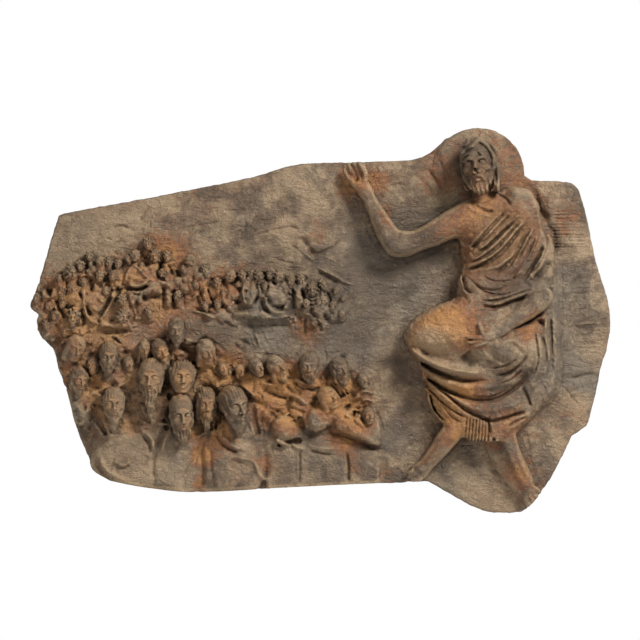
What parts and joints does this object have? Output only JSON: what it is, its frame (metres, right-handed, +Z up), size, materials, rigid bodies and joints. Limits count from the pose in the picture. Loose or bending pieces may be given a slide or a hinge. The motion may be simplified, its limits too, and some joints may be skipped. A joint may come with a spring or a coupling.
{
  "type": "relief plaque",
  "caption": "Cast bronze relief with an irregular outline: a seated, haloed teacher with a raised hand speaks to a hillside crowd; flat back for hanging.",
  "frame": {"origin": "middle of the flat back face, where the plaque meets its wall", "axes": "+Z up, +X to the right as seen from the front, +Y into the wall; the relief faces -Y"},
  "size_m": [0.6, 0.0662, 0.3983],
  "materials": {
    "patinated_bronze": "cast bronze with a brown patina, ochre in the hollows and worn grey-tan on the highest parts"
  },
  "bodies": {
    "root": {"relief_plaque": "patinated_bronze"}
  },
  "joints": []
}
